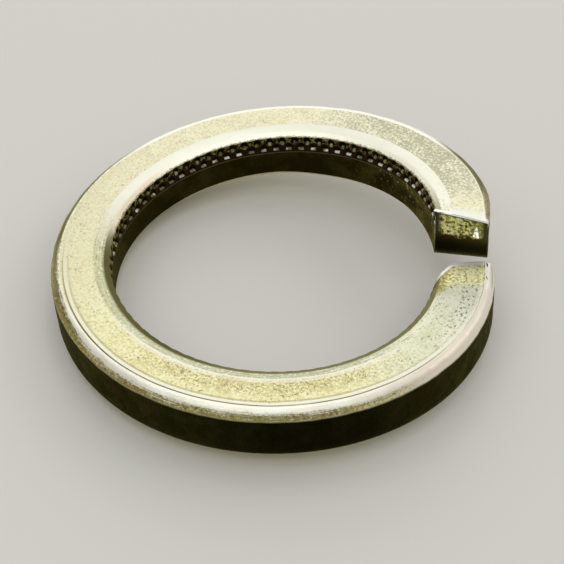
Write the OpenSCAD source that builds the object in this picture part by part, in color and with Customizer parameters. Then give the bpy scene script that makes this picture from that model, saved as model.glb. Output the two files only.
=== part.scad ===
// Spring lock washer for a 16 mm bolt, in millimetres.
// One turn of square steel wire, coiled left-handed, so that its two cut ends stand one above
// the other. The bore's axis is the Z axis, the split faces +X, and the low end touches z = 0.

/* [Ring] */
// Diameter of the bore
bore_d = 16.5; // [12:0.1:24]
// Width of the wire, from the bore out to the rim
wire_w = 3.05; // [2.4:0.05:5]
// Thickness of the wire, along the axis
wire_t = 3; // [2.4:0.1:5]
// Height left between the two ends, where one stands over the other
end_gap = 0.3; // [0.2:0.05:2]

/* [Edges] */
// Width of the outer roundings, above and below
round_w = 0.55; // [0.3:0.05:0.8]
// Height of the outer roundings, above and below
round_h = 0.65; // [0.2:0.05:0.8]
// How far the shallow slope round the bore's top edge reaches from the bore
slope_w = 0.95; // [0.5:0.05:1.1]
// Drop of that slope at the bevel
slope_drop = 0.14; // [0.06:0.02:0.2]
// Width of the steeper bevel between the slope and the bore
bevel_w = 0.3; // [0.1:0.05:0.4]
// Drop of that bevel at the bore
bevel_drop = 0.14; // [0.06:0.02:0.2]
// Size of the chamfer round the bore's lower edge
chamfer = 0.35; // [0.2:0.05:0.7]

/* [Ends] */
// How far past the +X axis the upper end is cut, at the middle of the wire
upper_y = -0.18; // [-0.6:0.02:0.6]
// Angle from the +X axis of the upper end's cut face, in degrees
upper_slant = -18; // [-24:1:10]
// Width that the shears took off the upper end's outer corner, along the cut
upper_corner_w = 0.5; // [0.2:0.05:0.8]
// Length of that corner's rounding, back along the rim
upper_corner_l = 5.5; // [1:0.1:6]
// How far past the +X axis the lower end is cut, at the middle of the wire
lower_y = 0.2; // [-0.6:0.02:0.6]
// Angle from the +X axis of the lower end's cut face, in degrees
lower_slant = 4; // [-10:1:24]
// Width that the shears took off the lower end's inner corner, along the cut
lower_corner_w = 1.05; // [0.2:0.05:1.2]
// Length of that corner's rounding, back along the bore
lower_corner_l = 1.7; // [0.8:0.1:2.4]

/* [Knurling] */
// Distance round the bore from one pit to the next
pit_pitch = 0.69; // [0.56:0.01:1.2]
// Rows of pits, each half a pitch round from the row above
pit_rows = 2; // [1:1:3]
// Height from one row to the next
row_step = 0.36; // [0.3:0.01:0.6]
// Depth of the first row's centres below the bore's top edge
first_row = 0.2; // [0:0.02:0.3]
// Half the width of a pit where it opens in the wall of the bore
pit_r = 0.26; // [0.1:0.01:0.28]
// Depth of a pit
pit_depth = 0.2; // [0.05:0.01:0.3]

/* [Hidden] */

bore_r = bore_d / 2;
rim_r = bore_r + wire_w;
mid_r = bore_r + wire_w / 2;
coil_fall = wire_t + end_gap;
height = 2 * coil_fall;
turn_steps = 120;
round_steps = 3;
wall_steps = 240;
corner_steps = 60;
// how far a cutter stands past what it cuts, and the coil past the walls that trim it
past = 0.03;
// how far the coil runs past the furthest corner of each cut, in degrees
past_angle = 1.5;
// how far the cutter of one end stays clear of the other end
clear = end_gap / 3;
// length of that cutter across the wire, and its width along the wire
cutter_l = 1.3 * wire_w;
cutter_w = 0.7 * wire_w;

// angle at which a cut's line crosses the circle of radius r
function cut_angle(y, slant, r) = asin((y + (r - mid_r) * tan(slant)) / r);
upper_angles = [for (r = [bore_r, rim_r]) cut_angle(upper_y, upper_slant, r)];
lower_angles = [for (r = [bore_r, rim_r]) 360 + cut_angle(lower_y, lower_slant, r)];

// the coil falls evenly, anticlockwise seen from above, to z = 0 at its last corner
function underside(angle) = coil_fall * (max(lower_angles) - angle) / 360;

// outer rounding as (radius, distance from the face) points, with its last chord run on
// past the rim
function rounding() = let (
    arc = [for (i = [0:round_steps]) let (a = 90 * i / round_steps)
        [rim_r - round_w * (1 - sin(a)), round_h * (1 - cos(a))]],
    a = arc[round_steps - 1],
    b = arc[round_steps],
    beyond = a + (b - a) * (rim_r + past - a.x) / (rim_r - a.x)
) [for (i = [0:round_steps]) i < round_steps ? arc[i] : beyond];

// section of the wire as (radius, height) points, anticlockwise from the bore's lower edge
function section() = concat(
    [[bore_r - past, chamfer + past], [bore_r + chamfer, 0], [bore_r + slope_w, 0]],
    rounding(),
    [for (i = [round_steps:-1:0]) [rounding()[i].x, wire_t - rounding()[i].y]],
    [[bore_r + slope_w, wire_t],
     [bore_r + bevel_w, wire_t - slope_drop],
     [bore_r - past, wire_t - slope_drop - bevel_drop * (1 + past / bevel_w)]]
);

// the wire coiled through its turn, a little long at both ends
module coil() {
    ring = section();
    n = len(ring);
    start = min(upper_angles) - past_angle;
    step = (max(lower_angles) + past_angle - start) / turn_steps;
    points = [for (i = [0:turn_steps], p = ring) let (a = start + i * step)
        [p.x * cos(a), p.x * sin(a), underside(a) + p.y]];
    sides = [for (i = [0:turn_steps - 1], j = [0:n - 1])
        let (a = i * n + j, b = i * n + (j + 1) % n)
        each [[a, b, b + n], [a, b + n, a + n]]];
    // each end is closed by quads from the underside up to the top
    cap = [for (j = [0:n / 2 - 2]) [j, j + 1, n - 2 - j, n - 1 - j]];
    polyhedron(points, concat(
        sides,
        [for (q = cap) [q[3], q[2], q[1], q[0]]],
        [for (q = cap) [for (j = q) turn_steps * n + j]]
    ));
}

// what the shears take off one end: all beyond the cut, and its corner at the wall of radius
// wall_r. side is 1 where the wire lies on the cut's +Y side, else -1
module end_cut(y, slant, side, wall_r, corner_w, corner_l) {
    mid_x = mid_r * cos(slant) + y * sin(slant);
    line_y = y * cos(slant) - mid_r * sin(slant);
    // the rounding touches the wall at `touch`, and meets the cut at `edge`
    sharp_x = sqrt(wall_r ^ 2 - line_y ^ 2);
    edge = [sharp_x - side * corner_w, line_y];
    touch_angle = atan2(line_y, sharp_x) + side * corner_l / wall_r * 180 / PI;
    outward = [cos(touch_angle), sin(touch_angle)];
    touch = wall_r * outward;
    corner_r = norm(touch - edge) ^ 2 / (2 * side * (touch - edge) * outward);
    centre = touch - side * corner_r * outward;
    rotate(slant) {
        translate([mid_x - cutter_l / 2, line_y - (side > 0 ? cutter_w : 0), 0])
            cube([cutter_l, cutter_w, height]);
        difference() {
            translate([centre.x - (side > 0 ? 0 : 2 * corner_r),
                       min(touch.y, line_y - side * past), 0])
                cube([2 * corner_r, abs(touch.y - line_y) + past, height]);
            translate([centre.x, centre.y, -past])
                cylinder(r = corner_r + past, h = height + 2 * past, $fn = corner_steps);
        }
    }
}

// diamond pits in staggered rows, in the wall of the bore under its top edge
module knurling() {
    first = upper_angles[0];
    step = pit_pitch / bore_r * 180 / PI;
    count = floor((lower_angles[0] - first) / step);
    for (row = [0:pit_rows - 1], i = [0:count - row % 2]) {
        angle = first + (i + row % 2 / 2) * step;
        drop = slope_drop + bevel_drop + first_row + row * row_step;
        rotate(angle)
            translate([bore_r - past, 0, underside(angle) + wire_t - drop])
                rotate([0, 90, 0])
                    cylinder(h = pit_depth + past, r1 = pit_r * (1 + past / pit_depth), r2 = 0,
                             $fn = 4);
    }
}

module washer() {
    upper_floor = underside(max(upper_angles)) - clear;
    lower_ceiling = underside(min(lower_angles)) + wire_t + clear;
    color([0.80, 0.78, 0.66])
    difference() {
        intersection() {
            coil();
            translate([0, 0, -past])
                cylinder(r = rim_r, h = height + 2 * past, $fn = wall_steps);
        }
        translate([0, 0, -2 * past])
            cylinder(r = bore_r, h = height + 4 * past, $fn = wall_steps);
        translate([0, 0, upper_floor])
            end_cut(upper_y, upper_slant, 1, rim_r, upper_corner_w, upper_corner_l);
        translate([0, 0, lower_ceiling - height])
            end_cut(lower_y, lower_slant, -1, bore_r, lower_corner_w, lower_corner_l);
        knurling();
    }
}

washer();
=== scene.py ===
import math

import bpy
import numpy as np
from mathutils import Matrix, Vector, geometry, noise


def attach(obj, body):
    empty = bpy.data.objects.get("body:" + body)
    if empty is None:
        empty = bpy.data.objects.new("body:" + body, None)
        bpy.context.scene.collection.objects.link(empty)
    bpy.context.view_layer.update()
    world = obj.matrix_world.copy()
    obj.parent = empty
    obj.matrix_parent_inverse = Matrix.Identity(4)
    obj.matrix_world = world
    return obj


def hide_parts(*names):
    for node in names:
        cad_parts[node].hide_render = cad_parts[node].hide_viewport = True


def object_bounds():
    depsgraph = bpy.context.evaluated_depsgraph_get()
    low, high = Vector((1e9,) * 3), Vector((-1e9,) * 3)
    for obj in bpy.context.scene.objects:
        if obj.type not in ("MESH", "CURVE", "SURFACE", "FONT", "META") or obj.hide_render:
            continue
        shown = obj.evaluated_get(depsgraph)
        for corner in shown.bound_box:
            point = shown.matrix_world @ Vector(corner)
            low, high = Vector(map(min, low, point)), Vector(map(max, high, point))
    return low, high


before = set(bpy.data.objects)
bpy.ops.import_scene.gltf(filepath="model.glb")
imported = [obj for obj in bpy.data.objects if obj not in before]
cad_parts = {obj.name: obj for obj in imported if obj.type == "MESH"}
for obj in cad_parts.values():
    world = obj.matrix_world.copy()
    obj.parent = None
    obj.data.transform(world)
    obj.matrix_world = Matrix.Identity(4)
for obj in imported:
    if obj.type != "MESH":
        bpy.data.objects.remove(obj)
cad_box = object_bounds()

# ---------------------------------------------------------------- sizes
# Lengths are in millimetres and slants in degrees. Across the wire, u is the distance out from
# the bore and h the height above the underside. Angles run along the coil, from the upper end.
MM = 0.001
BORE_R = 8.25
WIRE_W, WIRE_T = 3.05, 3.0
END_GAP = 0.3
RIM_R = BORE_R + WIRE_W
MID_R = BORE_R + WIRE_W / 2
FALL = WIRE_T + END_GAP
# the outer roundings, and the slope, narrower in front, and the bevel at the bore's top edge
ROUND_W, ROUND_H = 0.52, 0.65
LAND_OUT = WIRE_W - ROUND_W
SLOPE_W, SLOPE_NARROWER, SLOPE_DROP = 0.95, 0.1, 0.14
BEVEL_W, BEVEL_DROP = 0.3, 0.14
EDGE_H = WIRE_T - SLOPE_DROP - BEVEL_DROP
# the groove just inside the outer rounding, which shifts out along a stretch of the coil, and
# the hairline beside it
GROOVE_TURN = (3.2, 4.1)
GROOVE_IN, GROOVE_SHIFT = 2.38, 0.12
GROOVE_DEPTH, GROOVE_HALF = 0.04, 0.02
HAIRLINE_IN, HAIRLINE_DEPTH, HAIRLINE_HALF = -0.28, 0.012, 0.03
# each end: its cut's offset at the wire's middle, its slant, and its sheared corner's reach
# along the cut and along the wall
UPPER_Y, UPPER_SLANT, UPPER_CORNER = -0.18, -18.0, (0.5, 5.5)
LOWER_Y, LOWER_SLANT, LOWER_CORNER = 0.2, 4.0, (1.05, 1.7)
# the upper end's face is twisted, so it has one cut at its foot and one at its top
FOOT_CUT, TOP_CUT = (-0.13, -10.0), (-0.24, -23.0)
FOOT_R = 0.75
LIP, LIP_SINK, UNDERCUT = 0.12, 0.05, 0.07
WORN_EDGE, LOWER_EDGE = 0.04, 0.08
BURR = 0.09
NOTCH, NOTCH_AT, NOTCH_HALF = 0.2, 2.7, 0.06
# the knurling: rows of pits, each with a ledge at its foot, their widths in columns of the mesh
PIT_COLUMNS = 12
PIT_FEET = (2.36, 1.94)
PIT_HEIGHTS = (0.42, 0.5)
PIT_HALF, PIT_TAPER, PIT_SIDE = 4.4, 1.2, 2.0
PIT_DEPTH = 0.15
LEDGE_H, LEDGE_HALF = 0.07, 2.9
RIDGE_H, RIDGE_HALF = (-0.15, 0.06), 1.7
BAND_FOOT = 1.75
# the mesh: columns along the coil, those drawn up to each end, and the grid of the end faces
COLUMNS = 905
END_COLUMNS = 40
FACE_GRID = 0.06
SHARP = 33


def cut_line(radius, y, slant):
    """Angle at which a straight cut crosses each radius."""
    return np.arcsin((y + (radius - MID_R) * math.tan(math.radians(slant))) / radius)


def corner(y, slant, side, wall, size):
    """A sheared corner's arc: its centre's distance and angle, its radius, and where it starts."""
    tilt = math.radians(slant)
    line = y * math.cos(tilt) - MID_R * math.sin(tilt)
    sharp = math.sqrt(wall ** 2 - line ** 2)
    edge = Vector((sharp - side * size[0], line))
    at = math.atan2(line, sharp) + side * size[1] / wall
    outward = Vector((math.cos(at), math.sin(at)))
    run = wall * outward - edge
    radius = run.length_squared / (2 * side * run.dot(outward))
    centre = (wall - side * radius) * outward
    return centre.length, math.atan2(centre.y, centre.x) + tilt, radius, edge.length, at + tilt


UPPER_ARC = corner(UPPER_Y, UPPER_SLANT, 1, RIM_R, UPPER_CORNER)
LOWER_ARC = corner(LOWER_Y, LOWER_SLANT, -1, BORE_R, LOWER_CORNER)
LOW_END = 2 * math.pi + float(max(cut_line(np.array([BORE_R, RIM_R]), LOWER_Y, LOWER_SLANT)))


def underside(angle):
    return FALL * (LOW_END - angle) / (2 * math.pi)


def place(angle, radius, height):
    """Points in space, with heights above the wire's underside."""
    return np.stack([radius * np.cos(angle), radius * np.sin(angle), underside(angle) + height], -1)


def smooth(x, low, high):
    t = np.clip((x - low) / (high - low), 0, 1)
    return t * t * (3 - 2 * t)


def bump(x, at, width):
    return np.exp(-((x - at) / width) ** 2)


def front_share(angle):
    """1 at the front of the ring, 0 at the rear."""
    return 0.5 - 0.5 * np.sin(angle)


def chamfer_size(angle):
    """The chamfer at the bore's lower edge, which fades towards the upper end."""
    a = np.degrees(angle)
    return 0.1 + 0.18 * smooth(a, 12, 36) + 0.16 * smooth(a, 68, 96)


def groove_at(angle):
    """How far out the groove just inside the outer rounding runs."""
    return GROOVE_IN + GROOVE_SHIFT * smooth(angle, *GROOVE_TURN)


def narrowing(angle):
    """How far the rim is drawn in next to the upper end."""
    far, at, radius, _, touch = UPPER_ARC
    turn = np.minimum(angle, touch) - at
    reach = far * np.cos(turn) + np.sqrt(radius ** 2 - (far * np.sin(turn)) ** 2)
    return np.clip(RIM_R - reach, 0, 0.6)


def drawn_in(u, narrow):
    """Distance out from the bore of each point once the rim is drawn in."""
    return np.minimum(u - 0.4 * narrow * smooth(u, 1.0, 2.5), WIRE_W - narrow)


def top_height(u):
    """Height of the wire's top at each distance out from the bore, next to an end."""
    over = np.clip((u - LAND_OUT) / ROUND_W, 0, 1)
    rounding = ROUND_H * (1 - np.sqrt(1 - over ** 2))
    profile = [EDGE_H, WIRE_T - SLOPE_DROP, WIRE_T, WIRE_T]
    return np.interp(u, [0, BEVEL_W, 0.8, WIRE_W], profile) - rounding


def raised(u, h, share):
    """Height of each point where the lip fills up the slope and the bevel, by the upper end."""
    level, wall_foot = WIRE_T - LIP_SINK, 2.2
    on_wall = (level - EDGE_H) * np.clip((h - wall_foot) / (EDGE_H - wall_foot), 0, 1)
    on_slope = np.where((u < 1.2) & (h > 2), np.maximum(level - h, 0), 0)
    return h + np.where(u < 1e-6, on_wall, on_slope) * share


def upper_start(radius, height):
    """The upper end's face: twisted, rounded at its foot, with a lip pushed out along its top."""
    low, high = cut_line(radius, *FOOT_CUT), cut_line(radius, *TOP_CUT)
    base = low + (high - low) * np.clip(height / WIRE_T, 0, 1)
    depth = WIRE_T - 0.03 - height
    lip = LIP * smooth(depth, 0.16, 0.1)
    under = UNDERCUT * bump(depth, 0.2, 0.06)
    foot = FOOT_R - np.sqrt(FOOT_R ** 2 - (FOOT_R - np.clip(height, 0, FOOT_R)) ** 2)
    edge = WORN_EDGE * smooth(depth, 0.05, 0.0)
    return base + (under + foot + edge - lip) / radius


def lower_end(radius, height):
    """The lower end's face: its inner corner rounded, its top edge worn, with a notch."""
    far, at, arc_r, meets, _ = LOWER_ARC
    r = np.clip(radius, BORE_R, RIM_R)
    cosine = (r ** 2 + far ** 2 - arc_r ** 2) / (2 * r * far)
    arc = at + np.arccos(np.clip(cosine, -1, 1))
    base = 2 * math.pi + np.where(r < meets, arc, cut_line(r, LOWER_Y, LOWER_SLANT))
    depth = top_height(radius - BORE_R) - height
    edge = WORN_EDGE * smooth(depth, 0.06, 0.0) ** 2 + LOWER_EDGE * (1 - smooth(height, 0, 0.1))
    notch = NOTCH * bump(radius - BORE_R, NOTCH_AT, NOTCH_HALF) * smooth(depth, 0.5, 0.2)
    return base - (edge + notch) / radius


def section(angle):
    """The wire's section at each angle: arrays of distance out from the bore and height."""
    slope_w = SLOPE_W - SLOPE_NARROWER * front_share(angle)
    chamfer = chamfer_size(angle)
    us, hs = [], []

    def add(u, h):
        us.append(u + 0 * angle)
        hs.append(h + 0 * angle)

    # up the bore, close together where the pits are
    for s in (0, 0.3, 0.6, 0.9):
        add(0.0, chamfer + (BAND_FOOT - chamfer) * s)
    for h in (1.75, 1.85, 1.94, 1.975, 2.01, 2.05, 2.12, 2.19, 2.26, 2.31,
              2.36, 2.395, 2.43, 2.47, 2.53, 2.59, 2.65, 2.69, EDGE_H):
        add(0.0, h)
    # out over the bevel, the slope, the land with its groove, and the rounding
    for u in (0.03, 0.07, 0.12, 0.18, 0.24, 0.285):
        add(u, EDGE_H + BEVEL_DROP * u / BEVEL_W)
    for s in (0.02, 0.12, 0.3, 0.5, 0.7, 0.88, 0.98):
        fall = SLOPE_DROP * (0.75 * (1 - s) + 0.25 * (1 - s) ** 2)
        add(BEVEL_W + (slope_w - BEVEL_W) * s, WIRE_T - fall)
    for k in range(10):
        add(slope_w + (2.0 - slope_w) * k / 9, WIRE_T)
    grooved = smooth(front_share(angle), 0.3, 0.9)
    for du in (-0.32, -0.28, -0.24, -0.15, -0.05, -0.025, 0.0, 0.022):
        depth = (HAIRLINE_DEPTH * bump(du, HAIRLINE_IN, HAIRLINE_HALF)
                 + GROOVE_DEPTH * bump(du, 0, GROOVE_HALF))
        add(groove_at(angle) + du, WIRE_T - grooved * depth)
    for k in range(11):
        a = math.pi / 2 * k / 10
        add(LAND_OUT + ROUND_W * math.sin(a), WIRE_T - ROUND_H * (1 - math.cos(a)))
    # down the outer wall, and back along the underside
    for h in np.linspace(WIRE_T - ROUND_H, ROUND_H, 8)[1:]:
        add(WIRE_W, h)
    for k in range(1, 6):
        a = math.pi / 2 * (1 - k / 5)
        add(LAND_OUT + ROUND_W * math.sin(a), ROUND_H * (1 - math.cos(a)))
    for s in (0.8, 0.6, 0.4, 0.2, 0.0):
        add(chamfer + (LAND_OUT - chamfer) * s, 0.0)
    add(chamfer / 2, chamfer / 2)
    return np.array(us).T, np.array(hs).T


def knurling(column, height):
    """Depth of the pits in the bore's wall, and their parts: 1 on a ledge, 0.5 on a ridge."""
    depth = np.zeros_like(height)
    for row, foot in enumerate(PIT_FEET):
        across = np.abs((column / PIT_COLUMNS - row / 2) % 1 - 0.5) * PIT_COLUMNS
        rise, pit_h = height - foot, PIT_HEIGHTS[row]
        wide = PIT_HALF - PIT_TAPER * np.clip(rise / pit_h, 0, 1)
        side = np.clip((wide - across) / PIT_SIDE, 0, 1)
        up = np.minimum(rise / LEDGE_H, 1 - (rise - LEDGE_H) / (pit_h - LEDGE_H))
        depth = np.maximum(depth, PIT_DEPTH * side * np.clip(up, 0, 1))
        if row:
            ledge = (rise > -0.01) & (rise < LEDGE_H - 0.01) & (across < LEDGE_HALF)
        else:
            # the wall left between two pits of the row below
            ridge = (rise > RIDGE_H[0]) & (rise < RIDGE_H[1]) & (across < RIDGE_HALF)
    return depth, np.where(ridge, 0.5, ledge * 1.0)


def wavy(points, scale, amount, seed):
    """Smooth unevenness of a surface: one number for each point."""
    shift = Vector((seed * 7.3, seed * 3.1, seed * 5.7))
    return np.array([noise.noise(Vector(p) * scale + shift) for p in points]) * amount


def spread(nominal, u, h):
    """Each point's angle, drawn up to the ends' faces, and its distance from the nearer end."""
    start = upper_start(BORE_R + drawn_in(u, UPPER_CORNER[0]), raised(u, h, 1.0))
    stop = lower_end(BORE_R + u, h)
    angle = np.repeat(nominal[:, None], u.shape[1], 1)
    k = np.arange(END_COLUMNS)[:, None] / END_COLUMNS
    near, far = nominal[END_COLUMNS], nominal[-1 - END_COLUMNS]
    angle[:END_COLUMNS] = start[:END_COLUMNS] + (near - start[:END_COLUMNS]) * k
    angle[-END_COLUMNS:] = stop[-END_COLUMNS:] + (far - stop[-END_COLUMNS:]) * k[::-1]
    return angle, np.minimum(angle - start[:1], stop[-1:] - angle) * (BORE_R + u)


def dented(angle, u, h):
    """Radius and height with dents in the outer rounding and wall, and a slightly uneven top."""
    flat = place(angle, BORE_R + u, h).reshape(-1, 3)
    outer = smooth(u, 2.5, 2.8) * smooth(h, 0.2, 0.9)
    top = smooth(h, WIRE_T - 0.3, WIRE_T - 0.02)
    dent = (np.abs(wavy(flat, 1.1, 0.07, 1)) + wavy(flat, 3.1, 0.02, 2)).reshape(u.shape)
    sag = wavy(flat, 0.9, 0.03, 3).reshape(u.shape)
    return BORE_R + u - outer * np.clip(dent, 0, 1) * 0.6, h - top * np.clip(sag, 0, 1)


def skin():
    """The swept surface: each point's angle, radius and height, and its marks for the material."""
    nominal = np.linspace(0, LOW_END, COLUMNS + 1)
    u, h = section(nominal)
    angle, end = spread(nominal, u, h)
    depth, ledge = knurling(angle / (LOW_END / COLUMNS), h)
    whole = smooth(end, 0.1, 0.3)
    depth, ledge = depth * whole, ledge * (whole > 0.5)
    pit = np.clip(depth / PIT_DEPTH, 0, 1) * (u < depth + 1e-6)
    zones = np.stack([u, h, pit], -1)
    marks = np.stack([angle, ledge * (u < 0.01), np.clip(end, 0, 3)], -1)
    u = np.where(h > 0.8, np.maximum(u, depth), u)
    # a burr where the shears left the bore's top corner
    burr = BURR * (u < 0.2) * smooth(h, EDGE_H - 0.3, EDGE_H) * smooth(end, 0.25, 0.0) * (angle < 1)
    h = raised(zones[..., 0], h, smooth(end, 0.34, 0.2) * (angle < 1))
    u = drawn_in(u - burr, narrowing(angle))
    radius, h = dented(angle, u, h)
    return angle, radius, h, zones, marks


def inside_ring(ring, spots):
    """The spots that lie inside a closed outline, clear of its edges."""
    inside = np.zeros(len(spots), bool)
    gap = np.full(len(spots), 9.0)
    for p, q in zip(ring, np.roll(ring, -1, 0)):
        crosses = (p[1] > spots[:, 1]) != (q[1] > spots[:, 1])
        with np.errstate(divide="ignore", invalid="ignore"):
            x = p[0] + (q[0] - p[0]) * (spots[:, 1] - p[1]) / (q[1] - p[1])
        inside ^= crosses & (spots[:, 0] < x)
        d = q - p
        t = np.clip(((spots - p) @ d) / max(d @ d, 1e-12), 0, 1)
        gap = np.minimum(gap, np.linalg.norm(spots - p - t[:, None] * d, axis=1))
    return spots[inside & (gap > 0.025)]


def cap(ring, first, count, flip):
    """Triangles that close one end: new (out, height) points, and faces over all the vertices."""
    grid = []
    for row, y in enumerate(np.arange(FACE_GRID, WIRE_T, FACE_GRID * 0.866)):
        for x in np.arange(FACE_GRID + (row % 2) * FACE_GRID / 2, WIRE_W, FACE_GRID):
            grid.append((x, y))
    new = inside_ring(ring, np.array(grid))
    n = len(ring)
    every = [Vector(p) for p in ring] + [Vector(p) for p in new]
    edges = [(i, (i + 1) % n) for i in range(n)]
    out = geometry.delaunay_2d_cdt(every, edges, [list(range(n))], 1, 1e-7)
    source = [o[0] if o else None for o in out[3]]
    tris = []
    for f in out[2]:
        ids = [source[i] for i in f]
        ids = [first + i if i < n else count + i - n for i in ids]
        tris.append(tuple(ids if flip else reversed(ids)))
    return new, tris


def end_face(ring, first, count, face, flip):
    """One end's points, zones, marks and triangles, roughened where the shears tore the wire."""
    new, tris = cap(ring, first, count, flip)
    u, h = new[:, 0], new[:, 1]
    angle = face(BORE_R + u, h)
    spots = place(angle, BORE_R + u, h)
    grain = wavy(spots, 4.5, 0.07, 4) + wavy(spots, 10.0, 0.04, 5)
    torn = smooth(h, 1.3, 1.8) * (1 - smooth(h, 2.6, 2.75))
    torn = torn * smooth(u, 0.15, 0.4) * (1 - smooth(u, 2.0, 2.3))
    inward = -1 if flip else 1
    angle = angle + inward * np.clip(grain + 0.03, 0, 1) * torn / (BORE_R + u)
    nil = 0 * angle
    points = place(angle, BORE_R + u, h)
    return points, np.stack([u, h, nil], -1), np.stack([angle, nil, nil], -1), tris


def build_washer():
    angle, radius, h, zones, marks = skin()
    n = h.shape[1]
    points = [place(angle, radius, h).reshape(-1, 3)]
    zones, marks = [zones.reshape(-1, 3)], [marks.reshape(-1, 3)]
    faces = []
    for a in range(0, COLUMNS * n, n):
        faces += [(a + j, a + (j + 1) % n, a + n + (j + 1) % n, a + n + j) for j in range(n)]
    skin_faces = len(faces)
    for column, face, flip in ((0, upper_start, False), (COLUMNS, lower_end, True)):
        ring = np.stack([radius[column] - BORE_R, h[column]], -1)
        count = sum(len(p) for p in points)
        spots, spot_zones, spot_marks, tris = end_face(ring, column * n, count, face, flip)
        points.append(spots)
        zones.append(spot_zones)
        marks.append(spot_marks)
        faces += tris
    points = np.concatenate(points) * MM
    points[:, 2] = np.minimum(points[:, 2], cad_box[1][2])
    mesh = bpy.data.meshes.new("washer_steel")
    mesh.from_pydata(points.tolist(), [], faces)
    mesh.polygons.foreach_set("use_smooth", [True] * len(mesh.polygons))
    cut = mesh.attributes.new("cut", "FLOAT", "FACE")
    cut.data.foreach_set("value", [0.0] * skin_faces + [1.0] * (len(faces) - skin_faces))
    for name, values in (("wire", zones), ("mark", marks)):
        attribute = mesh.attributes.new(name, "FLOAT_VECTOR", "POINT")
        attribute.data.foreach_set("vector", np.concatenate(values).ravel())
    mesh.update()
    mesh.set_sharp_from_angle(angle=math.radians(SHARP))
    piece = bpy.data.objects.new("washer_steel", mesh)
    bpy.context.scene.collection.objects.link(piece)
    return piece


washer = build_washer()
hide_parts("washer")
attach(washer, "root")


# ---------------------------------------------------------------- material
class Nodes:
    """Short calls that add shader nodes and link them."""

    def __init__(self, name):
        self.material = bpy.data.materials.new(name)
        self.material.use_nodes = True
        self.tree = self.material.node_tree
        self.tree.nodes.clear()

    def add(self, kind, **settings):
        node = self.tree.nodes.new("ShaderNode" + kind)
        for key, value in settings.items():
            setattr(node, key, value)
        return node

    def plug(self, socket, value):
        """Links an output to a socket, or sets its number or colour."""
        if isinstance(value, bpy.types.NodeSocket):
            self.tree.links.new(value, socket)
        elif isinstance(value, tuple) and socket.type == "RGBA":
            socket.default_value = (*value, 1)
        else:
            socket.default_value = value

    def math(self, operation, *values):
        node = self.add("Math", operation=operation)
        for socket, value in zip(node.inputs, values):
            self.plug(socket, value)
        return node.outputs[0]

    def all_of(self, *values):
        """The product: of masks, what is in all of them."""
        total = values[0]
        for value in values[1:]:
            total = self.math("MULTIPLY", total, value)
        return total

    def sum_of(self, *values):
        total = values[0]
        for value in values[1:]:
            total = self.math("ADD", total, value)
        return total

    def minus(self, a, b):
        return self.math("SUBTRACT", a, b)

    def outside(self, mask):
        return self.math("SUBTRACT", 1.0, mask)

    def either(self, a, b):
        return self.math("MAXIMUM", a, b)

    def sway(self, texture, amount):
        """A texture turned into a shift to both sides of nothing."""
        return self.all_of(self.minus(texture, 0.5), amount)

    def step(self, value, low, high, start=0.0, stop=1.0):
        """A smooth change from start, where the value is low, to stop, where it is high."""
        node = self.add("MapRange", interpolation_type="SMOOTHSTEP")
        ends = {"From Min": low, "From Max": high, "To Min": start, "To Max": stop}
        for key, v in {"Value": value, **ends}.items():
            self.plug(node.inputs[key], v)
        return node.outputs[0]

    def line(self, value, at, half):
        """1 on a line at a value, 0 beyond half its width."""
        return self.step(self.math("ABSOLUTE", self.minus(value, at)), half, half * 0.4)

    def mix(self, share, a, b):
        node = self.add("Mix", data_type="RGBA")
        self.plug(node.inputs[0], share)
        self.plug(node.inputs[6], a)
        self.plug(node.inputs[7], b)
        return node.outputs[2]

    def coats(self, colour, *coats):
        """A colour with others laid over it in turn, each with the share it covers."""
        for share, coat in coats:
            colour = self.mix(share, colour, coat)
        return colour

    def noise(self, vector, scale, detail, rough, seed):
        node = self.add("TexNoise", noise_dimensions="4D")
        self.plug(node.inputs["Vector"], vector)
        settings = {"W": seed, "Scale": scale, "Detail": detail, "Roughness": rough}
        for key, value in settings.items():
            node.inputs[key].default_value = value
        return node.outputs[0]

    def split(self, vector):
        node = self.add("SeparateXYZ")
        self.plug(node.inputs[0], vector)
        return node.outputs

    def attribute(self, name):
        return self.add("Attribute", attribute_name=name, attribute_type="GEOMETRY").outputs

    def surface(self, shader):
        self.plug(self.add("OutputMaterial").inputs["Surface"], shader.outputs[0])


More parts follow.
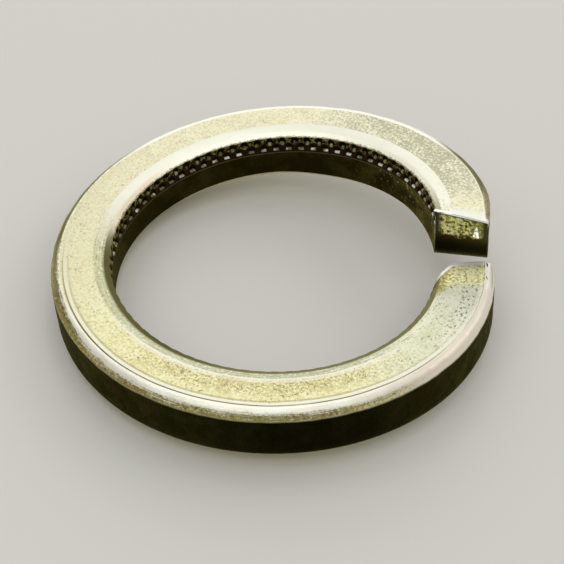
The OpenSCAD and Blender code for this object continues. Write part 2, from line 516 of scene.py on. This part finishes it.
class Steel:
    """What the mesh tells the steel about each spot, the zones it lies in, and the textures.

    The functions that colour a zone add the masks that are needed again further on.
    """

    def __init__(self, g):
        self.spot = g.add("TexCoord").outputs["Object"]
        self.u, self.h, self.pit = g.split(g.attribute("wire")["Vector"])
        self.along, self.ledge, self.end = g.split(g.attribute("mark")["Vector"])
        self.cut = g.attribute("cut")["Fac"]
        self.x, self.y, self.z = g.split(self.spot)
        self.sides(g)
        self.zones(g)
        self.textures(g)

    def sides(self, g):
        """Sides of the ring, in metres."""
        x, y, z = self.x, self.y, self.z
        self.front = g.step(y, 0.004, -0.0085)
        self.left = g.step(x, -0.006, -0.0105)
        self.right = g.step(x, 0.003, 0.009)
        self.right_front = g.all_of(g.step(x, 0.0035, 0.0075), g.step(y, -0.0005, -0.003))
        self.olive_side = g.all_of(g.step(x, -0.001, -0.0065), g.step(y, 0.002, -0.0025))
        self.upper = g.all_of(g.step(z, 0.0042, 0.0046), self.right)
        self.lower = g.all_of(g.step(z, 0.0046, 0.0042), g.step(x, 0.007, 0.008))

    def zones(self, g):
        """Zones across the wire, in millimetres."""
        u, h = self.u, self.h
        self.top = g.step(h, WIRE_T - 0.02, WIRE_T - 0.004)
        self.inner = g.step(u, 1.06, 1.0)
        self.bevel = g.all_of(g.step(u, BEVEL_W + 0.02, BEVEL_W - 0.02),
                              g.step(h, EDGE_H - 0.02, EDGE_H + 0.015))
        self.slope = g.all_of(g.step(h, WIRE_T - 0.3, WIRE_T - 0.27),
                              g.step(h, WIRE_T - 0.004, WIRE_T - 0.016), self.inner)
        self.land = g.all_of(self.top, g.step(u, LAND_OUT + 0.02, LAND_OUT - 0.04))
        self.rounding = g.all_of(g.step(u, LAND_OUT - 0.03, LAND_OUT + 0.03),
                                 g.step(h, WIRE_T - 0.6, WIRE_T - 0.45))
        self.wall = g.all_of(g.step(u, 2.8, 2.98), g.step(h, WIRE_T - 0.45, WIRE_T - 0.62))
        self.bore = g.all_of(g.step(u, 0.02, 0.01), g.step(h, EDGE_H + 0.01, EDGE_H - 0.01))
        self.band = g.all_of(self.bore, g.step(h, BAND_FOOT - 0.03, BAND_FOOT + 0.02))

    def textures(self, g):
        """Grain, mottling, specks, and streaks that run along the wire."""
        spot = self.spot
        self.fine = g.noise(spot, 9500, 3, 0.6, 1)
        self.grain = g.noise(spot, 7000, 3, 0.65, 2)
        self.crumb = g.noise(spot, 6500, 3, 0.7, 8)
        self.patch = g.noise(spot, 800, 3, 0.55, 3)
        clusters = g.step(g.noise(spot, 900, 2, 0.5, 6), 0.42, 0.62)
        self.specks = g.all_of(g.step(g.noise(spot, 6000, 2, 0.6, 5), 0.58, 0.66), clusters)
        run = g.add("CombineXYZ")
        scales = (14.0, 14.0, 5.0)
        for socket, value, scale in zip(run.inputs, (self.u, self.h, self.along), scales):
            g.plug(socket, g.all_of(value, scale))
        self.streak = g.noise(run.outputs[0], 1.0, 2, 0.6, 7)


def land_tones(g, s):
    """The land's pale and deep tones, golden at the front's inner side, greyer at the right, with
    painted light: paler and greener at the right front, paler next to the lower end.
    """
    x, y, u = s.x, s.y, s.u
    s.golden = g.all_of(g.step(y, 0.001, -0.005), g.step(u, 2.1, 1.5),
                        g.step(x, -0.007, -0.0035), g.outside(s.right_front))
    s.near_end = g.all_of(g.step(x, 0.0075, 0.0095), g.step(y, 0.001, -0.001))
    grey = g.all_of(g.step(x, 0.001, 0.005), g.step(y, 0.0, 0.002), g.step(s.z, 0.00635, 0.00615))
    pale = g.coats((0.94, 0.895, 0.66),
                   (s.front, (0.98, 0.95, 0.60)),
                   (g.all_of(s.left, g.step(y, -0.007, -0.003)), (0.87, 0.84, 0.58)),
                   (g.all_of(s.left, g.step(u, 1.9, 2.3)), (0.80, 0.77, 0.54)),
                   # paler and greener at the right front: a painted reflection
                   (s.right_front, (0.88, 0.90, 0.69)),
                   (grey, (0.89, 0.87, 0.69)),
                   # paler next to the lower end: painted light against the upper end's shade
                   (s.near_end, (1.0, 1.0, 0.86)))
    deep = g.coats((0.78, 0.73, 0.50),
                   (s.front, (0.80, 0.74, 0.37)),
                   (s.golden, (0.70, 0.63, 0.31)),
                   # paler and greener at the right front: a painted reflection
                   (s.right_front, (0.72, 0.74, 0.52)),
                   (grey, (0.49, 0.48, 0.34)),
                   # paler next to the lower end: painted light against the upper end's shade
                   (s.near_end, (0.86, 0.87, 0.68)))
    return pale, deep


def land_colour(g, s, pale, deep):
    """The land: worn grain, crumbs and dark flecks."""
    y, u = s.y, s.u
    thin = g.all_of(s.right, g.step(y, -0.003, 0.002), g.step(s.z, 0.0063, 0.0060), -0.08)
    worn = g.sum_of(s.grain, g.sway(s.patch, 0.35), g.all_of(s.golden, -0.06), thin)
    strewn_at = g.all_of(s.near_end, g.line(u, 1.95, 0.6), g.step(y, -0.0005, -0.0015))
    strewn = g.step(g.noise(s.spot, 7500, 2, 0.6, 15), 0.55, 0.61)
    strewn = g.all_of(strewn, g.either(g.all_of(s.golden, 0.75), strewn_at))
    s.flecks = g.all_of(g.either(s.specks, strewn), s.land, g.step(s.front, 0, 0.5, 0.3, 0.85))
    fleck_tone = g.mix(s.right_front, (0.22, 0.15, 0.02), (0.16, 0.16, 0.06))
    return g.coats(deep,
                   (g.step(worn, 0.40, 0.56), pale),
                   (g.step(s.fine, 0.56, 0.66, 0, 0.8), (1.0, 0.99, 0.84)),
                   (g.all_of(g.step(s.crumb, 0.43, 0.34), s.land, 0.5), (0.40, 0.36, 0.16)),
                   (s.flecks, fleck_tone))


def groove_lines(g, s, colour):
    """The groove along the land's outer edge and the hairline beside it, darkened with painted
    shade, and a painted highlight on the strip between them.
    """
    groove = g.minus(s.u, g.step(s.along, *GROOVE_TURN, GROOVE_IN, GROOVE_IN + GROOVE_SHIFT))
    near_top = g.step(s.h, WIRE_T - 0.09, WIRE_T - 0.06)
    rim_light = g.all_of(near_top, g.step(groove, -0.24, -0.18), g.step(groove, -0.02, -0.04),
                         s.front)
    grooved = g.all_of(near_top, g.step(s.along, 3.0, 3.9), g.step(s.along, 5.9, 4.9, 0.15, 1.0),
                       g.step(s.streak, 0.3, 0.5, 0.55, 1.0))
    hairline = g.all_of(g.line(groove, -0.27, 0.08), grooved, 0.65)
    return g.coats(colour,
                   # a painted highlight on the strip, then painted shade in the hairline and the
                   # groove
                   (g.all_of(rim_light, 0.85), (0.98, 0.97, 0.86)),
                   (hairline, (0.42, 0.38, 0.20)),
                   (g.all_of(g.line(groove, 0.0, 0.055), grooved), (0.24, 0.22, 0.10)))


def slope_colour(g, s):
    """The slope: painted light and shade, white at the rear, greyer in front, olive at the left;
    scuffed in front, olive by the lower end.
    """
    x, y = s.x, s.y
    scuffed = g.sum_of(g.all_of(s.crumb, 0.6), g.all_of(s.streak, 0.4))
    front_too = g.step(y, 0.004, -0.001)
    return g.coats((0.93, 0.93, 0.81),
                   # painted shade: greyer in front, where the slope faces away from the light
                   (g.step(y, 0.002, -0.004), (0.58, 0.60, 0.43)),
                   # paler at the right front: a painted reflection
                   (s.right_front, (0.86, 0.88, 0.70)),
                   # painted shade at the left
                   (g.all_of(s.left, g.step(y, 0.0045, -0.001)), (0.57, 0.57, 0.31)),
                   (g.all_of(s.lower, g.step(s.end, 1.7, 0.9)), (0.34, 0.32, 0.09)),
                   (g.all_of(g.step(scuffed, 0.48, 0.40), front_too, 0.75), (0.32, 0.30, 0.12)),
                   (g.all_of(g.step(scuffed, 0.53, 0.59), front_too, 0.8), (0.98, 0.97, 0.78)))


def bevel_colour(g, s):
    """The bevel: painted light and shade, white at the rear, olive in front, darkest at the left,
    nibbled by the pits' painted shade.
    """
    x, y = s.x, s.y
    nibbled = g.sum_of(s.h, g.sway(s.grain, 0.16))
    nibbled = g.all_of(g.step(nibbled, EDGE_H + 0.055, EDGE_H + 0.01, 0, 0.85),
                       g.outside(s.olive_side))
    pink = g.all_of(g.step(x, -0.005, -0.0075), g.step(y, 0.0005, 0.002))
    return g.coats((1.0, 0.99, 0.82),
                   # painted shade in front and, below, at the left front
                   (g.step(y, 0.004, -0.001), (0.24, 0.23, 0.09)),
                   (pink, (0.97, 0.84, 0.64)),
                   (s.olive_side, (0.038, 0.035, 0.001)),
                   (nibbled, (0.16, 0.14, 0.04)))


def inner_edge(g, s, colour):
    """The slope and the bevel, with a painted highlight along the crest above them and painted
    shade where the slope meets the bevel at the left front.
    """
    crest = g.all_of(g.line(s.h, WIRE_T - 0.012, 0.018), s.inner, s.front,
                     g.step(s.x, 0.0075, 0.0045), g.step(s.x, -0.0080, -0.0060))
    soft_edge = g.all_of(s.slope, s.olive_side, g.step(s.u, BEVEL_W + 0.16, BEVEL_W - 0.01))
    return g.coats(colour,
                   (s.slope, slope_colour(g, s)),
                   # a painted highlight along the crest
                   (g.all_of(crest, 0.8), (0.98, 0.97, 0.88)),
                   (s.bevel, bevel_colour(g, s)),
                   # painted shade at the left front
                   (g.all_of(soft_edge, 0.8), (0.10, 0.09, 0.02)))


def ragged_colour(g, s):
    """Under the outer rounding's white edge: olive and brown metal, darkened with a painted
    reflection of the dark surroundings, with painted glints.
    """
    x, y = s.x, s.y
    brown = g.all_of(g.step(s.patch, 0.52, 0.60), g.step(s.u, 2.86, 2.94), g.step(x, 0.005, 0.003))
    return g.coats((0.19, 0.18, 0.045),
                   (g.step(y, -0.004, -0.009), (0.33, 0.28, 0.07)),
                   (g.step(s.patch, 0.5, 0.65), (0.27, 0.22, 0.055)),
                   (g.step(x, 0.0025, 0.0055), (0.74, 0.68, 0.34)),
                   (brown, (0.30, 0.17, 0.055)),
                   (g.step(s.crumb, 0.50, 0.43, 0, 0.65), (0.24, 0.21, 0.05)),
                   # painted glints among the specks
                   (g.step(s.crumb, 0.53, 0.60, 0, 0.6), (0.86, 0.83, 0.55)),
                   (g.step(s.streak, 0.47, 0.37, 0, 0.75), (0.12, 0.10, 0.02)),
                   (g.step(s.streak, 0.55, 0.63, 0, 0.6), (0.82, 0.78, 0.50)),
                   (g.step(s.crumb, 0.44, 0.36, 0, 0.8), (0.10, 0.08, 0.02)),
                   (g.step(s.fine, 0.58, 0.68), (0.85, 0.82, 0.55)))


def outer_edge(g, s, colour, deep):
    """The outer rounding, a painted reflection: white along its upper edge where it faces the light
    above, olive and ragged below where it faces the dark surroundings.
    """
    x, y, u = s.x, s.y, s.u
    ragged = g.sum_of(g.all_of(s.streak, 0.45), g.all_of(s.grain, 0.25))
    ragged = g.sum_of(u, g.minus(ragged, 0.35))
    # where the painted white reflection gives way to the olive below
    shine_ends_at = g.step(y, -0.0030, -0.0085, 2.60, 2.87)
    s.below = g.all_of(g.step(g.minus(ragged, shine_ends_at), -0.01, 0.09),
                       g.step(y, 0.004, 0.0), g.step(x, 0.0080, 0.0056))
    # pink at the right front: a painted reflection
    pink_side = g.all_of(s.right, s.front)
    darker_left = g.all_of(s.left, g.step(y, -0.004, -0.002), g.step(s.crumb, 0.53, 0.45), 0.7)
    # olive at the left: painted shade
    olive_left = g.all_of(s.left, g.step(y, -0.002, 0.001),
                          g.step(u, LAND_OUT + 0.06, LAND_OUT + 0.12))
    tan = g.coats((0.42, 0.35, 0.20),
                  (g.step(y, 0.001, 0.003), (0.15, 0.15, 0.055)),
                  (g.step(s.crumb, 0.48, 0.40), (0.10, 0.09, 0.03)))
    tan_strip = g.all_of(g.step(s.z, 0.0050, 0.0056), g.step(x, 0.007, 0.009),
                         g.step(u, 2.53, 2.60))
    shine = g.coats((1.0, 0.99, 0.90),
                    (g.step(s.patch, 0.42, 0.6, 0, 0.3), (0.76, 0.74, 0.58)),
                    (pink_side, (0.97, 0.85, 0.72)),
                    (g.all_of(pink_side, g.step(y, -0.0035, -0.0015)), (0.98, 0.96, 0.89)),
                    (s.below, ragged_colour(g, s)),
                    (darker_left, (0.45, 0.43, 0.24)),
                    (olive_left, (0.19, 0.18, 0.05)),
                    (tan_strip, tan))
    # a painted highlight along the rim at the rear
    rear_rim = g.all_of(g.step(u, 2.40, 2.46), g.step(s.h, WIRE_T - 0.25, WIRE_T - 0.15),
                        g.step(y, 0.0, 0.004), g.step(x, -0.0088, -0.0065),
                        g.step(x, 0.0098, 0.0080))
    return g.coats(colour,
                   (s.rounding, g.mix(g.step(s.streak, 0.35, 0.6, 0.2, 0.0), shine, deep)),
                   (rear_rim, (1.0, 1.0, 0.94)))


def outer_wall(g, s, colour):
    """The outer wall: painted shade, nearly black, darkest in front."""
    shaded = g.all_of(g.step(s.x, -0.004, 0.001), g.step(s.x, 0.0075, 0.005))
    tone = g.coats((0.016, 0.014, 0.003),
                   (g.step(s.patch, 0.4, 0.65), (0.034, 0.030, 0.008)),
                   (g.all_of(shaded, 0.75), (0.004, 0.004, 0.001)))
    return g.mix(s.wall, colour, tone)


def bore_wall(g, s, colour):
    """The bore: painted shade, dark and darkest in the pits, with painted glints at the right and
    on the knurled band's ledges and ridges.
    """
    x, h, crumb, patch = s.x, s.h, s.crumb, s.patch
    band_tone = g.mix(g.all_of(g.step(crumb, 0.49, 0.58), g.step(h, 2.2, 2.45)),
                      (0.036, 0.018, 0.007), (0.36, 0.33, 0.10))
    # painted glints at the right
    sparkle = g.step(g.noise(s.spot, 6000, 2, 0.6, 13), 0.6, 0.68)
    sparkle = g.all_of(sparkle, s.right, g.step(h, 0.6, 1.4, 0.3, 0.8))
    # painted glints on the ledges and ridges, dimmer at the left
    glint = g.noise(s.spot, 1500, 1, 0.5, 11)
    glint = g.sum_of(glint, g.step(x, -0.004, -0.008, 0, -0.12))
    ledge_tone = g.mix(g.step(glint, 0.44, 0.56), (0.24, 0.20, 0.14), (1.0, 1.0, 1.0))
    ridge_tone = g.coats((0.12, 0.10, 0.04),
                         (g.step(glint, 0.38, 0.6), (0.50, 0.46, 0.24)),
                         (g.step(crumb, 0.58, 0.66), (0.85, 0.82, 0.60)))
    s.on_ledge = g.step(s.ledge, 0.5, 0.9)
    tone = g.coats((0.024, 0.019, 0.003),
                   (g.step(patch, 0.4, 0.65), (0.046, 0.038, 0.009)),
                   (g.all_of(s.right, g.step(patch, 0.35, 0.6)), (0.15, 0.13, 0.03)),
                   (s.band, band_tone),
                   (sparkle, (0.85, 0.82, 0.55)),
                   # a painted highlight along the band's foot
                   (g.all_of(g.line(h, BAND_FOOT, 0.035), 0.45), (0.3, 0.27, 0.13)),
                   # painted shade in the pits
                   (g.step(s.pit, 0.05, 0.4), (0.012, 0.008, 0.003)),
                   (g.step(s.ledge, 0.15, 0.45), g.mix(s.on_ledge, ridge_tone, ledge_tone)))
    # painted shade at the pits' mouths
    pit_mouth = g.all_of(g.step(s.pit, 0.02, 0.25), g.step(s.u, 0.01, 0.02))
    return g.coats(colour, (s.bore, tone), (pit_mouth, (0.06, 0.05, 0.015)))


def by_the_ends(g, s, colour):
    """Bright worn edges at the upper end, a painted highlight along the lower end's rim, and by the
    lower end's cut a golden mottle, partly sheared metal and partly a painted reflection of the
    upper end's face and its shade.
    """
    u, h, end, crumb = s.u, s.h, s.end, s.crumb
    white = (0.95, 0.95, 0.90)
    # gold and olive by the lower end's cut: partly sheared metal, partly a painted reflection of
    # the upper end's face and its shade
    sheared = g.all_of(s.lower, g.step(h, WIRE_T - 0.16, WIRE_T - 0.13), g.step(u, 2.6, 2.5),
                       g.step(end, 2.3, 1.5))
    gold = g.mix(g.step(crumb, 0.50, 0.60), (0.84, 0.78, 0.34), (1.0, 0.98, 0.74))
    scaly = g.mix(g.step(crumb, 0.36, 0.5), (0.24, 0.20, 0.03), gold)
    olive = g.all_of(g.step(u, 0.74, 0.58), g.step(s.fine, 0.62, 0.52), 0.85)
    s.side_line = g.all_of(s.upper, s.bore, g.step(end, 0.2, 0.12))
    side_tone = g.mix(g.step(h, 0.8, 2.2), (0.40, 0.39, 0.28), (0.88, 0.87, 0.72))
    # a painted highlight along the lower end's top edge
    rim_line = g.all_of(s.lower, g.step(h, 2.55, 2.65), g.step(end, 0.30, 0.23))
    dot = g.all_of(s.lower, g.line(u, 2.63, 0.07), g.line(end, 1.30, 0.09))
    # painted shade in the notch
    split = g.all_of(s.lower, g.line(u, 2.68, 0.07), g.step(end, 0.34, 0.22))
    return g.coats(colour,
                   (g.all_of(s.upper, s.top, g.step(end, 0.9, 0.1)), white),
                   (g.all_of(s.upper, g.step(h, 2.55, 2.7), g.step(end, 0.32, 0.2)), white),
                   (g.all_of(sheared, 0.85), g.mix(olive, scaly, (0.27, 0.26, 0.04))),
                   (s.side_line, side_tone),
                   (rim_line, (1.0, 0.99, 0.92)),
                   (g.either(dot, split), (0.03, 0.03, 0.01)))


def cut_face(g, s):
    """The cut faces: painted shade, darkest low down, with mottled gold above carrying painted
    highlights, a bright flash, a nick, a painted highlight along the foot, painted shadow under the
    lip, and a worn top edge.
    """
    u, h, crumb = s.u, s.h, s.crumb
    black = (0.006, 0.005, 0.003)
    gold = g.mix(g.step(s.patch, 0.4, 0.6), (0.46, 0.43, 0.05), (0.88, 0.84, 0.22))
    # the cream spots in the gold are painted highlights
    bright = g.mix(g.step(crumb, 0.52, 0.58), gold, (1.0, 1.0, 0.78))
    mottle = g.mix(g.step(crumb, 0.40, 0.48), (0.035, 0.03, 0.004), bright)
    mottle = g.mix(g.step(u, 1.5, 2.2, 0.0, 0.45), mottle, (0.22, 0.20, 0.05))
    foot = g.sum_of(g.sway(g.noise(s.spot, 2600, 2, 0.6, 9), 0.9), h)
    s.patchy = g.all_of(g.step(foot, 1.55, 1.75), g.step(u, 0.1, 0.45), g.step(u, 2.42, 2.2))
    # painted shade: the face is darker low down
    plain = g.mix(g.step(h, 0.9, 1.7), (0.012, 0.011, 0.004), (0.045, 0.04, 0.008))
    # the flash is a ragged triangle, narrow at its top
    half = g.sum_of(0.05, g.all_of(g.minus(2.4, h), 0.17))
    flash = g.minus(g.math("ABSOLUTE", g.minus(u, 2.0)), half)
    flash = g.sum_of(flash, g.sway(crumb, 0.14))
    s.flash = g.all_of(g.step(flash, 0.03, -0.02), g.step(h, 1.62, 1.68), g.step(h, 2.45, 2.35))
    nick = g.all_of(g.line(u, 1.49, 0.2), g.line(h, 2.62, 0.075))
    # a painted highlight along the rounded foot
    foot_line = g.all_of(g.line(h, 0.13, 0.08), g.step(u, 1.0, 0.5), g.step(u, 0.1, 0.3), 0.8)
    # painted shadow under the lip
    under_lip = g.all_of(g.step(h, WIRE_T - 0.29, WIRE_T - 0.24), s.upper)
    return g.coats(plain,
                   (s.patchy, mottle),
                   (s.flash, (1.0, 0.99, 0.80)),
                   (nick, black),
                   (foot_line, (0.8, 0.79, 0.7)),
                   (under_lip, black),
                   (g.step(h, WIRE_T - 0.11, WIRE_T - 0.09), (0.95, 0.94, 0.88)))


def metal_share(g, s):
    """The pale surfaces are partly matt, the dark walls are bare metal."""
    metal = g.outside(g.all_of(s.land, g.outside(s.flecks), 0.7))
    for matt in (g.all_of(s.slope, 0.55),
                 g.all_of(s.rounding, g.outside(s.below), 0.45),
                 g.all_of(s.cut, g.outside(s.flash), g.step(s.h, 1.3, 1.8), 0.5),
                 g.all_of(s.on_ledge, 0.75),
                 g.all_of(s.side_line, 0.7)):
        metal = g.minus(metal, matt)
    return metal


def roughness(g, s):
    """Smoother on the slope, the rounding and the flash, rougher on the walls and the specks."""
    rough = g.sum_of(g.step(s.grain, 0.3, 0.7, 0.36, 0.5),
                     g.all_of(s.slope, -0.08),
                     g.all_of(s.rounding, -0.06),
                     g.all_of(g.either(s.wall, s.bore), 0.25),
                     g.all_of(s.specks, 0.2))
    rough = g.minus(rough, g.all_of(s.cut, s.flash, 0.15))
    return g.sum_of(rough, g.all_of(s.cut, g.step(s.h, 1.6, 1.2), -0.1))


def relief(g, s):
    """Relief too fine for the mesh, and the way two bright patches face."""
    # the flash on the cut face looks upward
    tilt = g.all_of(s.cut, s.flash, g.minus(s.h, 1.6), 105.0)
    # the sheared edge of the lower end is turned up a little
    near = g.math("MINIMUM", g.either(g.math("ADD", s.y, 0.0022), 0.0), 0.001)
    beyond = g.either(g.math("ADD", s.y, 0.0012), 0.0)
    rise = g.sum_of(g.all_of(near, near), g.all_of(beyond, 0.002))
    turned_up = g.all_of(s.lower, g.step(s.h, WIRE_T - 0.3, WIRE_T - 0.2), rise, 2.0e7)
    height = g.sum_of(g.all_of(s.grain, 0.7),
                      g.all_of(s.fine, 0.35),
                      g.all_of(s.specks, s.land, -0.6),
                      g.all_of(s.streak, s.rounding, 0.5),
                      g.all_of(s.crumb, s.cut, s.patchy, 1.5),
                      tilt, turned_up)
    bump_node = g.add("Bump")
    bump_node.inputs["Strength"].default_value = 1.0
    bump_node.inputs["Distance"].default_value = 0.000012
    g.plug(bump_node.inputs["Height"], height)
    return bump_node.outputs[0]


def washer_steel():
    g = Nodes("washer_steel")
    s = Steel(g)
    pale, deep = land_tones(g, s)
    colour = land_colour(g, s, pale, deep)
    colour = groove_lines(g, s, colour)
    colour = inner_edge(g, s, colour)
    colour = outer_edge(g, s, colour, deep)
    colour = outer_wall(g, s, colour)
    colour = bore_wall(g, s, colour)
    colour = by_the_ends(g, s, colour)
    colour = g.mix(s.cut, colour, cut_face(g, s))
    shader = g.add("BsdfPrincipled")
    g.plug(shader.inputs["Metallic"], metal_share(g, s))
    g.plug(shader.inputs["Base Color"], colour)
    g.plug(shader.inputs["Roughness"], roughness(g, s))
    g.plug(shader.inputs["Specular Tint"], (0.95, 0.92, 0.6))
    g.plug(shader.inputs["Normal"], relief(g, s))
    g.surface(shader)
    return g.material


washer.data.materials.append(washer_steel())


# ---------------------------------------------------------------- floor
def lay_floor(reach=1.5):
    """A floor that touches the coil where it rests: at the lower end and the side opposite."""
    lean_r = RIM_R - ROUND_W
    lean_x = -FALL / 4 / lean_r
    lean_y = FALL / (2 * math.pi) / lean_r
    normal = Vector((-lean_x, -lean_y, 1)).normalized()
    lowest = min(v.co.dot(normal) for v in washer.data.vertices)
    side = Vector((1, 0, lean_x)).normalized()
    turned = Matrix((side, normal.cross(side), normal)).transposed().to_4x4()
    turned.translation = normal * lowest
    mesh = bpy.data.meshes.new("floor")
    corners = [(-reach, -reach, 0), (reach, -reach, 0), (reach, reach, 0), (-reach, reach, 0)]
    mesh.from_pydata(corners, [], [(0, 1, 2, 3)])
    floor = bpy.data.objects.new("floor", mesh)
    floor.matrix_world = turned
    bpy.context.scene.collection.objects.link(floor)
    g = Nodes("floor")
    shader = g.add("BsdfPrincipled")
    g.plug(shader.inputs["Base Color"], (0.72, 0.71, 0.68))
    g.plug(shader.inputs["Roughness"], 0.75)
    g.surface(shader)
    mesh.materials.append(g.material)


lay_floor()


# ---------------------------------------------------------------- light
def plain_world(colour, strength):
    world = bpy.data.worlds.new("studio")
    bpy.context.scene.world = world
    world.use_nodes = True
    tree = world.node_tree
    tree.nodes.clear()
    background = tree.nodes.new("ShaderNodeBackground")
    background.inputs["Color"].default_value = (*colour, 1)
    background.inputs["Strength"].default_value = strength
    world_out = tree.nodes.new("ShaderNodeOutputWorld")
    tree.links.new(background.outputs[0], world_out.inputs["Surface"])


def away(azimuth, elevation):
    """Direction from the washer: azimuth 0 is in front of it, 90 to its right."""
    a, e = math.radians(azimuth), math.radians(elevation)
    return Vector((math.sin(a) * math.cos(e), -math.cos(a) * math.cos(e), math.sin(e)))


def softbox(name, azimuth, elevation, distance, width, height, radiance, colour):
    """A rectangular lamp aimed at the washer, its sizes in metres."""
    back = away(azimuth, elevation)
    lamp = bpy.data.lights.new(name, "AREA")
    lamp.shape = "RECTANGLE"
    lamp.size = width
    lamp.size_y = height
    lamp.energy = radiance * math.pi * width * height
    lamp.color = colour
    thing = bpy.data.objects.new(name, lamp)
    aim = back.to_track_quat("Z", "Y").to_matrix().to_4x4()
    thing.matrix_world = Matrix.Translation(back * distance) @ aim
    thing.visible_camera = False
    bpy.context.scene.collection.objects.link(thing)


plain_world((0.9, 0.9, 0.88), 0.5)
softbox("overhead", 200, 80, 0.40, 0.30, 0.30, 1.25, (1.0, 0.99, 0.96))
softbox("rear", 185, 30, 0.55, 0.50, 0.36, 0.95, (1.0, 0.98, 0.9))
softbox("right", 112, 36, 0.50, 0.34, 0.26, 0.85, (1.0, 0.98, 0.93))
softbox("front", 0, 60, 0.45, 0.66, 0.16, 1.05, (1.0, 0.98, 0.93))


# ---------------------------------------------------------------- camera
def add_camera(azimuth, elevation, roll, lens, target, distance):
    """A camera turned to a target in millimetres, then rolled."""
    back = away(azimuth, elevation)
    turn, roll = math.radians(azimuth), math.radians(roll)
    right = Vector((math.cos(turn), math.sin(turn), 0))
    up = back.cross(right)
    axis_x = right * math.cos(roll) + up * math.sin(roll)
    axis_y = up * math.cos(roll) - right * math.sin(roll)
    data = bpy.data.cameras.new("camera")
    data.sensor_width = 36
    data.lens = lens
    data.clip_start = 0.002
    data.clip_end = 10
    camera = bpy.data.objects.new("camera", data)
    view = Matrix((axis_x, axis_y, back)).transposed().to_4x4()
    view.translation = Vector(target) * MM + back * distance * MM
    camera.matrix_world = view
    bpy.context.scene.collection.objects.link(camera)
    bpy.context.scene.camera = camera


add_camera(4.89, 40.925, -3.761, 92.1, (0.494, -1.313, 3.068), 73.17)
bpy.context.scene.view_settings.view_transform = "Standard"

bpy.context.view_layer.update()
